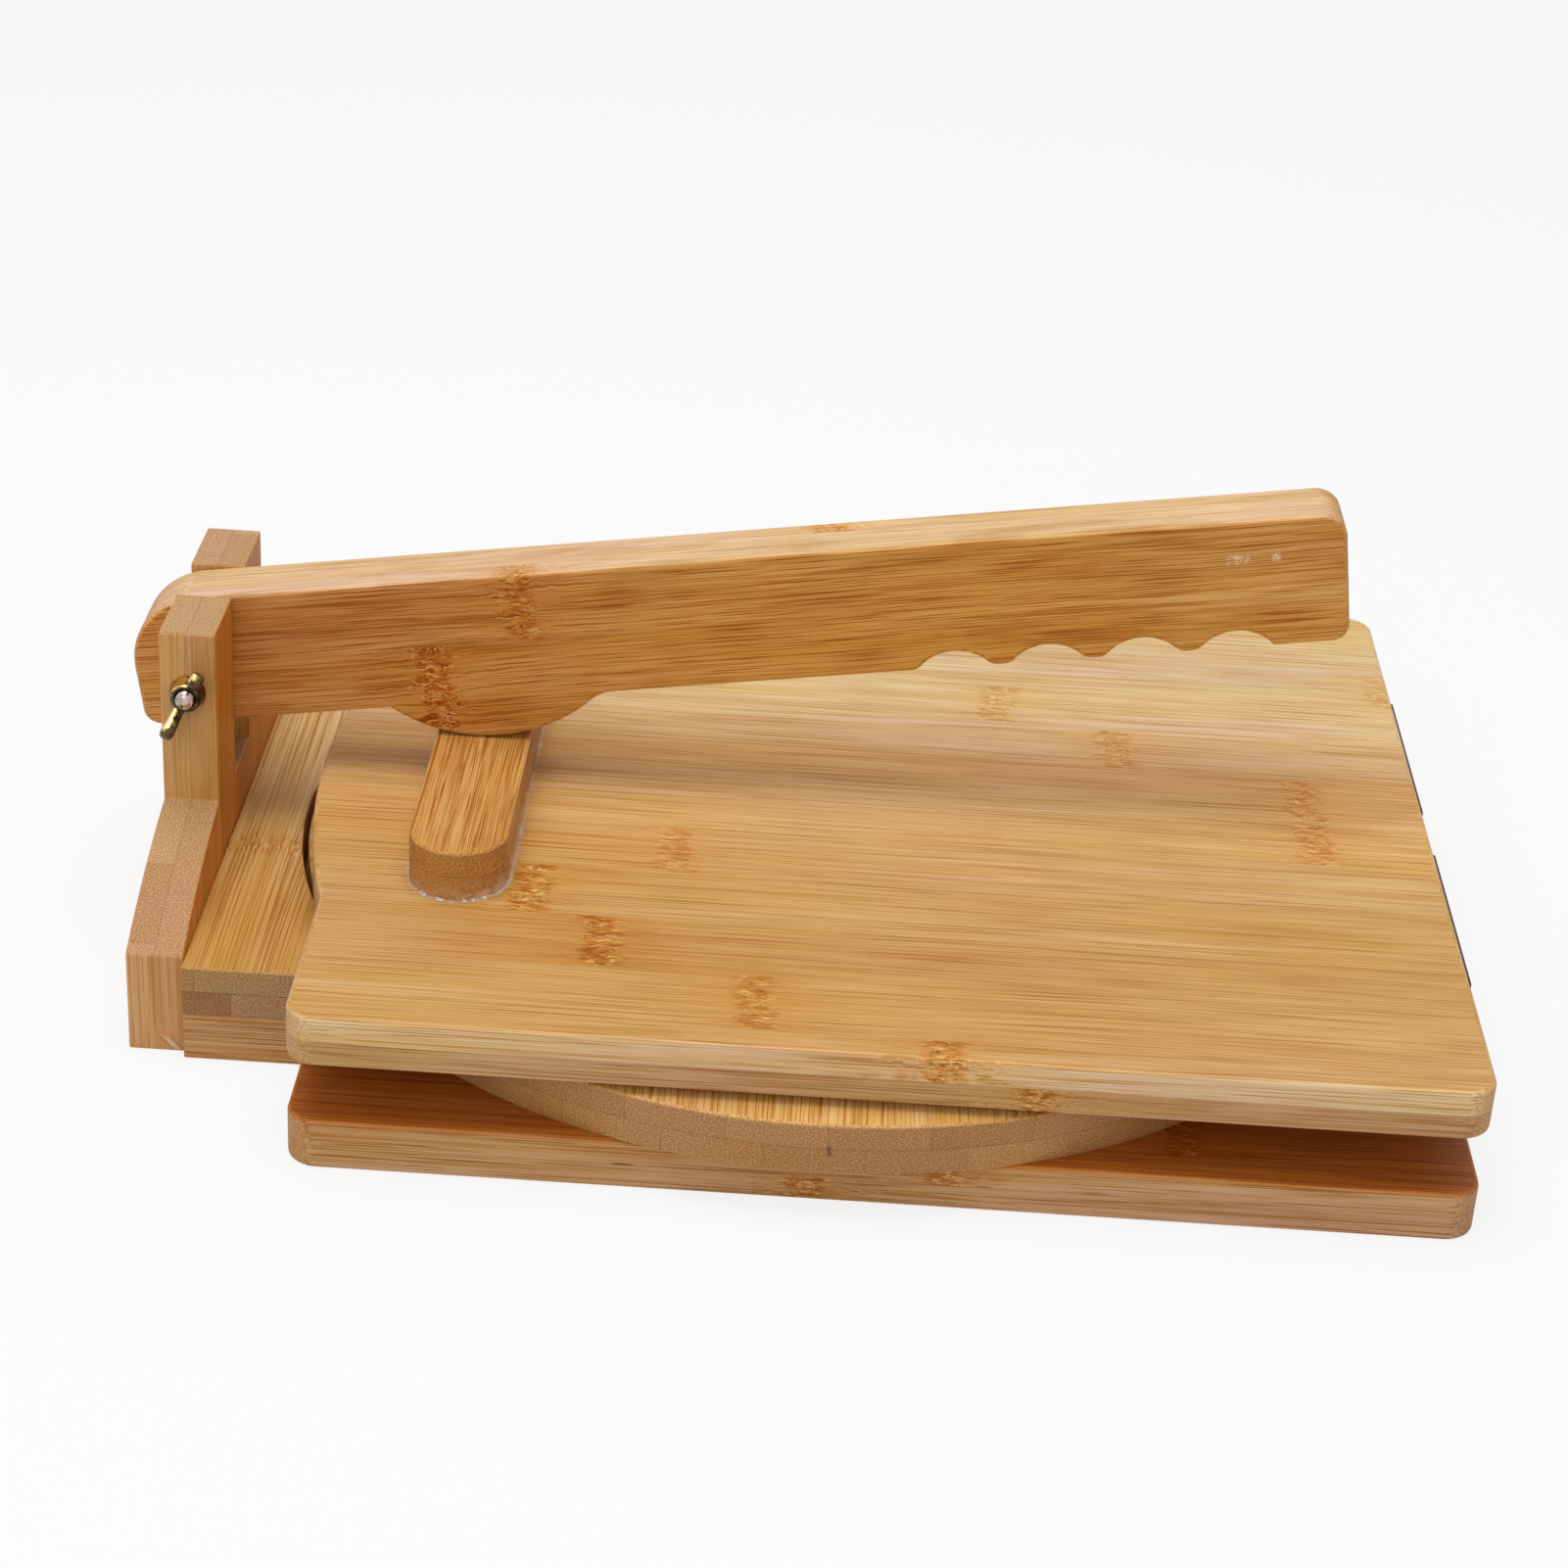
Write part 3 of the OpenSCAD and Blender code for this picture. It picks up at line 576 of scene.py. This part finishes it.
turned(bm, dome + [(head_radius, -head_rim), (head_radius - rim_ease, 0)]
       + [(bolt_radius, 0), (bolt_radius, thread_start)]
       + [(bolt_radius, z) for z in heights if z < bolt_length - chamfer[0][1] * MM]
       + [(bolt_radius - inset * MM, bolt_length - back * MM) for inset, back in chamfer] + [(0, bolt_length)],
       bolt_place, 48, thread(thread_depth, pitch, thread_start, bolt_length, bolt_radius - 0.5 * MM, 1.0))
bmesh.ops.create_cube(bm, size=1.0, matrix=bolt_place @ Matrix.Translation((0, 0, neck_length / 2))
                      @ Matrix.Diagonal((neck_side, neck_side, neck_length, 1)))
piece("pivot_bolt_threaded", closed(bm), "base", ["pivot_bolt"], rainbow_zinc)

# Wing nut: a turned hub, and two forged ears that swell towards their tips. The hub lists (radius, height) and
# the ear (distance out, height, half its width, half its thickness), in millimetres
nut_place = (Matrix.Translation((pivot.x, -post_face, pivot.z)) @ to_front
             @ Matrix.Rotation(radians(63), 4, "Z"))
hub = [(2.16, 0.0), (3.9, 0.0), (4.15, 0.12), (4.2, 0.4), (4.12, 0.75), (3.85, 1.5), (3.62, 2.6), (3.5, 3.45),
       (3.4, 3.78), (3.15, 3.98), (2.7, 4.0), (2.3, 3.8), (2.16, 3.5), (2.16, 0.0)]
ear = [(2.6, 1.8, 1.5, 1.45), (3.4, 2.2, 1.65, 1.45), (4.2, 2.9, 1.6, 1.4), (5.0, 3.9, 1.6, 1.4),
       (5.8, 5.0, 1.65, 1.45), (6.6, 6.1, 1.75, 1.55), (7.25, 7.1, 1.85, 1.62), (7.75, 7.95, 1.8, 1.62),
       (8.05, 8.5, 1.6, 1.5), (8.3, 8.95, 1.15, 1.1)]
lowest, ring_steps, squareness = 0.25, 24, 0.6
bm = bmesh.new()
turned(bm, [(r * MM, h * MM) for r, h in hub], nut_place, 56)
for turn in (0, pi):
    rings = []
    for i, (out, height, wide, thick) in enumerate(ear):
        before, after = ear[max(i - 1, 0)], ear[min(i + 1, len(ear) - 1)]
        lean = atan2(after[1] - before[1], after[0] - before[0])
        ring = []
        for k in range(ring_steps):
            a = 2 * pi * k / ring_steps
            u, v = (size * abs(way) ** squareness * (1 if way > 0 else -1)
                    for size, way in ((wide, cos(a)), (thick, sin(a))))
            p = Vector((out - u * sin(lean), v, max(height + u * cos(lean), lowest))) * MM
            ring.append(bm.verts.new(nut_place @ Matrix.Rotation(turn, 4, "Z") @ p))
        rings.append(ring)
    for one, two in zip(rings, rings[1:]):
        for k in range(ring_steps):
            n = (k + 1) % ring_steps
            bm.faces.new([one[k], one[n], two[n], two[k]])
    bm.faces.new(rings[0][::-1])
    bm.faces.new(rings[-1])
piece("wing_nut_forged", closed(bm, 50), "wing_nut", ["wing_nut"], zinc)

# Butt hinges: leaves with rolled knuckles, and pins with domed ends. The far edge of a lid leaf is ground thinner
hinge_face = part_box("base_hinge_screws")[1].x
rim_height, rim_step, slack = 1.4 * MM, 0.5 * MM, 0.1 * MM
pin_end = [(1.1, 0.0), (1.75, 0.12), (1.98, 0.4), (2.0, 0.8), (1.3, 0.8)]
for end_name in ("front", "rear"):
    for leaf, body in (("base_leaf", "base"), ("lid_leaf", "lid")):
        node = leaf + "_" + end_name
        bm = cad_copy(node)
        if body == "lid":
            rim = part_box(node)[1].z
            bmesh.ops.bisect_plane(bm, geom=bm.verts[:] + bm.edges[:] + bm.faces[:], plane_no=up,
                                   plane_co=(0, 0, rim - rim_height))
            for vert in bm.verts:
                if vert.co.z > rim - slack and vert.co.x > hinge_face - slack:
                    vert.co.x -= rim_step
        made = piece(node + "_rolled", closed(bm, 30), body, [node], bronze)
        ease = made.modifiers.new("stamped edges", "BEVEL")
        ease.width, ease.segments, ease.limit_method, ease.angle_limit = 0.18 * MM, 2, "ANGLE", radians(40)
        ease.use_clamp_overlap, ease.harden_normals = True, True
    pin = "hinge_pin_" + end_name
    low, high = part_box(pin)
    length = high.y - low.y
    bm = bmesh.new()
    turned(bm, [(0, 0)] + [(r * MM, h * MM) for r, h in pin_end]
           + [(r * MM, length - h * MM) for r, h in pin_end[::-1]] + [(0, length)],
           Matrix.Translation(((low.x + high.x) / 2, high.y, (low.z + high.z) / 2)) @ to_front, 40)
    piece(pin + "_domed", closed(bm), "base", [pin], bronze)


def wood_screw(diameter, length):
    """A countersunk wood screw with a cross recess, head upwards at the origin, as a loose object."""
    r, shank, head = diameter / 2, diameter / 2 * 0.86, diameter * 0.9
    start, pitch, rings_a_turn = length * 0.35, diameter * 0.42, 6
    heights = [start + i * pitch / rings_a_turn for i in range(int((length - start) / pitch * rings_a_turn))]
    recess = [(0, head * 0.62), (head * 0.16, head * 0.56), (head * 0.46, 0.0)]
    threaded = thread(r * 0.34, pitch, start, length, 0.1 * MM, 0.55)

    def cross(radius, height, a):
        """The radius in the recess, where only the four arms reach all the way out, or else on the thread."""
        if radius > head * 0.47 or height > head * 0.6:
            return threaded(radius, height, a)
        from_arm = abs(((a + pi / 4) % (pi / 2)) - pi / 4)
        return radius * (1.0 if from_arm < 0.30 else 0.42)
    bm = bmesh.new()
    turned(bm, recess + [(head * 0.97, 0.0), (head, 0.1 * MM), (shank, head - shank), (shank, start)]
           + [(r, z) for z in heights] + [(0, length)], Matrix.Identity(4), 24, cross)
    data = bpy.data.meshes.new("wood_screw")
    closed(bm).to_mesh(data)
    data.update()
    return bpy.data.objects.new("wood_screw", data)


def node_group(name, inputs):
    """An empty geometry nodes tree with these (name, kind) inputs, and geometry as its output."""
    tree = bpy.data.node_groups.new(name, "GeometryNodeTree")
    for title, kind in inputs:
        tree.interface.new_socket(title, in_out="INPUT", socket_type="NodeSocket" + kind)
    tree.interface.new_socket("Made", in_out="OUTPUT", socket_type="NodeSocketGeometry")
    return tree


def screw_rows():
    """Geometry nodes that set one screw at each place of a row and of its mirror image across the lever."""
    tree = node_group("screw rows", (
        ("Screw", "Object"), ("Screws in a row", "Int"), ("First screw", "Vector"), ("Step", "Vector"),
        ("Driven towards", "Rotation"), ("Finish", "Material"), ("Seed", "Int")))
    given, result, line, mirrored, both, screw, places, spin, turn, real, painted = map(tree.nodes.new, (
        "NodeGroupInput", "NodeGroupOutput", "GeometryNodeMeshLine", "GeometryNodeTransform",
        "GeometryNodeJoinGeometry", "GeometryNodeObjectInfo", "GeometryNodeInstanceOnPoints",
        "FunctionNodeRandomValue", "GeometryNodeRotateInstances", "GeometryNodeRealizeInstances",
        "GeometryNodeSetMaterial"))
    mirrored.inputs["Scale"].default_value = (1, -1, 1)
    spin.data_type = "FLOAT_VECTOR"
    spin.inputs["Max"].default_value = (0, 0, pi)
    for source, goal in ((given.outputs["Screws in a row"], line.inputs["Count"]),
                         (given.outputs["First screw"], line.inputs["Start Location"]),
                         (given.outputs["Step"], line.inputs["Offset"]),
                         (line.outputs[0], mirrored.inputs["Geometry"]), (line.outputs[0], both.inputs[0]),
                         (mirrored.outputs[0], both.inputs[0]), (both.outputs[0], places.inputs["Points"]),
                         (given.outputs["Screw"], screw.inputs["Object"]),
                         (screw.outputs["Geometry"], places.inputs["Instance"]),
                         (given.outputs["Driven towards"], places.inputs["Rotation"]),
                         (given.outputs["Seed"], spin.inputs["Seed"]), (places.outputs[0], turn.inputs["Instances"]),
                         (spin.outputs["Value"], turn.inputs["Rotation"]), (turn.outputs[0], real.inputs[0]),
                         (real.outputs[0], painted.inputs["Geometry"]),
                         (given.outputs["Finish"], painted.inputs["Material"]),
                         (painted.outputs[0], result.inputs[0])):
        tree.links.new(source, goal)
    return tree


def grown(tree, start=None, **inputs):
    """The plain mesh that a geometry nodes tree makes with these inputs, from the mesh start."""
    seed = bpy.data.objects.new("seed", start or bpy.data.meshes.new("seed"))
    bpy.context.scene.collection.objects.link(seed)
    modifier = seed.modifiers.new("nodes", "NODES")
    modifier.node_group = tree
    names = {item.name: item.identifier for item in tree.interface.items_tree if item.in_out == "INPUT"}
    for name, given in inputs.items():
        modifier[names[name.replace("_", " ")]] = given
    bpy.context.view_layer.update()
    mesh = bpy.data.meshes.new_from_object(seed.evaluated_get(bpy.context.evaluated_depsgraph_get()))
    bpy.data.objects.remove(seed)
    return mesh


rows = screw_rows()
base_middle, lid_middle, layer_step = 6 * MM, 32 * MM, 12 * MM
yoke_row, yoke_row_step, hinge_row, hinge_row_step = 58 * MM, -22 * MM, 21.667 * MM, 19.333 * MM
hinge_screw = (3.0 * MM, 16.0 * MM, 3, (0, hinge_row_step, 0), -90, bronze, "bronze_screw")
screw_sets = [("yoke_screws", "base", (yoke_left, yoke_row, base_middle),
               4.0 * MM, 30.0 * MM, 2, (0, yoke_row_step, layer_step), 90, steel, "screw_steel"),
              ("base_hinge_screws", "base", (hinge_face, hinge_row, base_middle), *hinge_screw),
              ("lid_hinge_screws", "lid", (hinge_face, hinge_row, lid_middle), *hinge_screw)]
for seed, (node, body, first, diameter, length, count, step, toward, material, slot) in enumerate(screw_sets, 2):
    screw = wood_screw(diameter, length)
    mesh = grown(rows, Screw=screw, Screws_in_a_row=count, First_screw=first, Step=step,
                 Driven_towards=(0, radians(toward), 0), Finish=material, Seed=seed)
    bpy.data.objects.remove(screw)
    piece(node + "_driven", mesh, body, [node], material)


def glue_bead():
    """Geometry nodes that lay an uneven bead of glue along a line of edges."""
    tree = node_group("glue bead", (("Foot line", "Geometry"), ("Width", "Float"), ("Uneven", "Float"),
                                    ("Finish", "Material"), ("Seed", "Float")))
    given, result, line, even, cloud, swell, size, ring, tube, real, painted = map(tree.nodes.new, (
        "NodeGroupInput", "NodeGroupOutput", "GeometryNodeMeshToCurve", "GeometryNodeResampleCurve",
        "ShaderNodeTexNoise", "ShaderNodeMath", "ShaderNodeMath", "GeometryNodeCurvePrimitiveCircle",
        "GeometryNodeCurveToMesh", "GeometryNodeRealizeInstances", "GeometryNodeSetMaterial"))
    even.mode = "LENGTH"
    even.inputs["Length"].default_value = 0.6 * MM
    cloud.noise_dimensions = "4D"
    cloud.inputs["Scale"].default_value = 110.0
    swell.operation, size.operation = "MULTIPLY_ADD", "MULTIPLY"
    swell.inputs[2].default_value = 0.45
    ring.inputs["Resolution"].default_value = 8
    ring.inputs["Radius"].default_value = 1.0
    for source, goal in ((given.outputs["Foot line"], line.inputs[0]), (line.outputs[0], even.inputs["Curve"]),
                         (given.outputs["Seed"], cloud.inputs["W"]), (cloud.outputs["Fac"], swell.inputs[0]),
                         (given.outputs["Uneven"], swell.inputs[1]), (swell.outputs[0], size.inputs[0]),
                         (given.outputs["Width"], size.inputs[1]), (even.outputs[0], tube.inputs["Curve"]),
                         (size.outputs[0], tube.inputs["Scale"]), (ring.outputs[0], tube.inputs["Profile Curve"]),
                         (tube.outputs[0], real.inputs[0]), (real.outputs[0], painted.inputs["Geometry"]),
                         (given.outputs["Finish"], painted.inputs["Material"]),
                         (painted.outputs[0], result.inputs[0])):
        tree.links.new(source, goal)
    return tree


# The bead runs round the foot of the cam block, half round at both ends, and is pressed flat on the lid
low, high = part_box("cam_block")
half_width, middle, end_steps, flatness = (high.x - low.x) / 2, (low.x + high.x) / 2, 24, 0.34
straight = (high.y - low.y) / 2 - half_width
bm = bmesh.new()
foot = [bm.verts.new((middle + half_width * cos(a), s * straight + half_width * sin(a), lid_top))
        for s, from_a in ((1, 0), (-1, pi)) for a in (from_a + i * pi / end_steps for i in range(end_steps + 1))]
for one, two in zip(foot, foot[1:] + foot[:1]):
    bm.edges.new((one, two))
line = bpy.data.meshes.new("foot line")
bm.to_mesh(line)
bm.free()
glue = dried_glue(lid_top / MM, low.y / MM)
bead = grown(glue_bead(), line, Width=1.5 * MM, Uneven=0.6, Finish=glue, Seed=2.5)
bead.transform(Matrix.Translation((0, 0, lid_top)) @ Matrix.Diagonal((1, 1, flatness, 1))
               @ Matrix.Translation((0, 0, -lid_top)))
for polygon in bead.polygons:
    polygon.use_smooth = True
piece("cam_block_glue", bead, "lid", [], glue)


# Floor, light and camera

def shown_white(name, gray, level):
    """A matt finish that the camera and reflections see as nearly white."""
    f = Finish(bpy.data.materials.new(name))
    matt = f.node("BsdfDiffuse", None, {"Color": (gray, gray, gray, 1.0)})
    glow = f.node("Emission", None, {"Color": (1.0, 1.0, 1.0, 1.0), "Strength": 1.0})
    f.node("OutputMaterial", None, {"Surface": f.node("MixShader", None, {0: f.seen() * level, 1: matt, 2: glow})})
    return f.owner


bm = bmesh.new()
floor_reach = 12.0
bmesh.ops.create_grid(bm, x_segments=1, y_segments=1, size=floor_reach)
data = bpy.data.meshes.new("floor")
bm.to_mesh(data)
bm.free()
data.materials.append(shown_white("pale_floor", 0.80, 0.82))
floor = bpy.data.objects.new("floor", data)
bpy.context.scene.collection.objects.link(floor)

# The world looks white, and lights the press with less than that
scene = bpy.context.scene
scene.view_settings.view_transform = "Standard"
studio = Finish(bpy.data.worlds.new("studio"))
strength = studio.node("MapRange", None, {"Value": studio.seen(), "To Min": 0.43, "To Max": 1.0})
sky = studio.node("Background", None, {"Color": (1.0, 1.0, 1.0, 1.0), "Strength": strength})
studio.node("OutputWorld", None, {"Surface": sky})
scene.world = studio.owner


def softbox(name, place, aim, size, power):
    """A square lamp, size metres wide, at place and turned to aim."""
    light = bpy.data.lights.new(name, "AREA")
    light.shape, light.size, light.energy = "SQUARE", size, power
    lamp = bpy.data.objects.new(name, light)
    lamp.location = place
    lamp.rotation_euler = (Vector(aim) - Vector(place)).to_track_quat("-Z", "Y").to_euler()
    scene.collection.objects.link(lamp)


softbox("overhead_softbox", (-0.1, -0.12, 1.3), (0, 0, 0), 0.95, 10.8)
softbox("front_softbox", (-0.5, -1.3, 0.9), (0, 0, 0.03), 0.9, 4.8)

# The place, turn and lens were fitted to the edges in the photo
camera = bpy.data.objects.new("camera", bpy.data.cameras.new("camera"))
camera.data.sensor_width, camera.data.lens = 36.0, 77.264
camera.location = (-0.006736, -0.723865, 0.417191)
camera.rotation_euler = (1.08778452, -0.05288094, 0.03580619)
scene.collection.objects.link(camera)
scene.camera = camera
